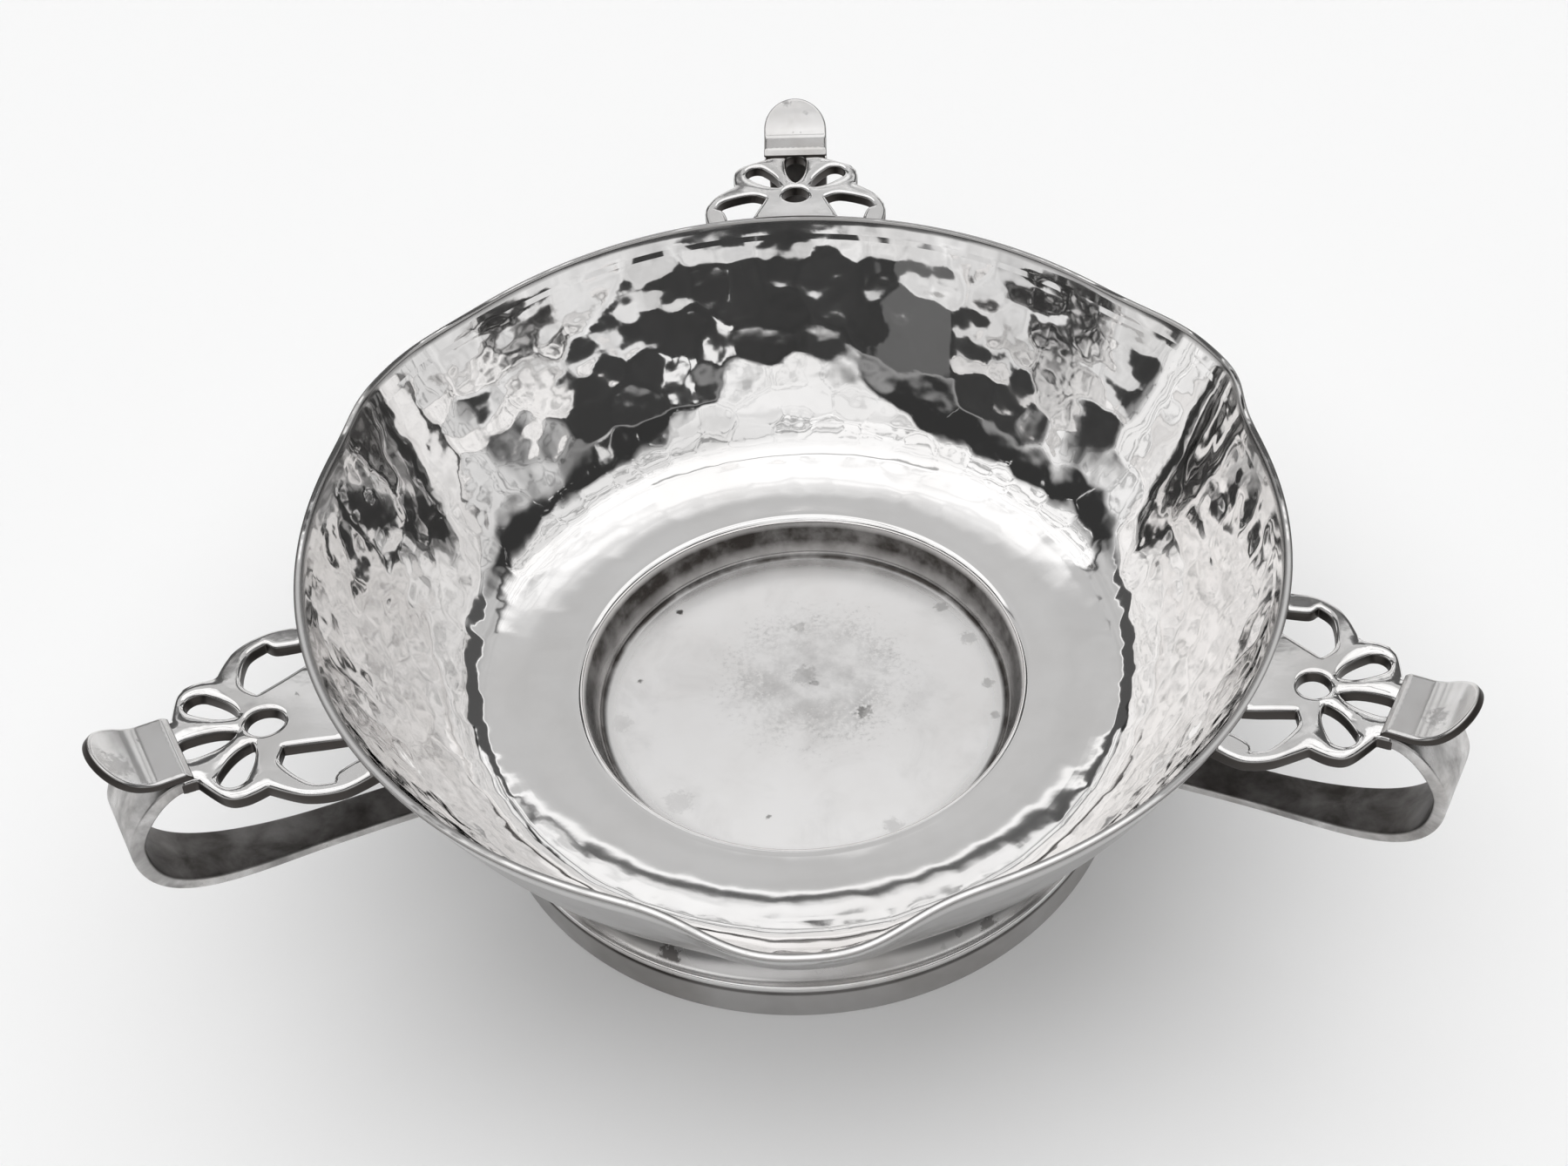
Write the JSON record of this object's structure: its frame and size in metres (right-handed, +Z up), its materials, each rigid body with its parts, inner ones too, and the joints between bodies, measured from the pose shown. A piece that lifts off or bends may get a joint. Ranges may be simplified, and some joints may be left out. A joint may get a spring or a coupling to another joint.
{
  "type": "footed bowl",
  "caption": "Round hammered silver bowl with a sunk well, a lobed lipped rim, a spreading ring foot and pierced strap handles with thumb tabs.",
  "frame": {"origin": "middle of the well's floor, on the bowl's axis; the foot's underside is 12.4 mm below it", "axes": "+Z up along the bowl's axis, +Y towards the back handle, +X towards the right-hand side"},
  "size_m": [0.188, 0.1862, 0.0669],
  "materials": {
    "hammered_silver": "polished silver with hammer facets",
    "foot_silver": "polished silver, lightly tarnished",
    "band_silver": "polished silver, tarnished",
    "plate_silver": "polished silver with filed and rounded edges",
    "tab_silver": "polished silver with light smudges",
    "strap_silver": "polished silver, dark tarnish on the inner face"
  },
  "bodies": {
    "root": {"bowl_body": "hammered_silver", "foot_ring": "foot_silver", "foot_band": "band_silver", "handle_plate_back": "plate_silver", "handle_plate_left": "plate_silver", "handle_plate_right": "plate_silver", "thumb_tab_back": "tab_silver", "thumb_tab_left": "tab_silver", "thumb_tab_right": "tab_silver", "handle_strap_back": "strap_silver", "handle_strap_left": "strap_silver", "handle_strap_right": "strap_silver"}
  },
  "joints": []
}
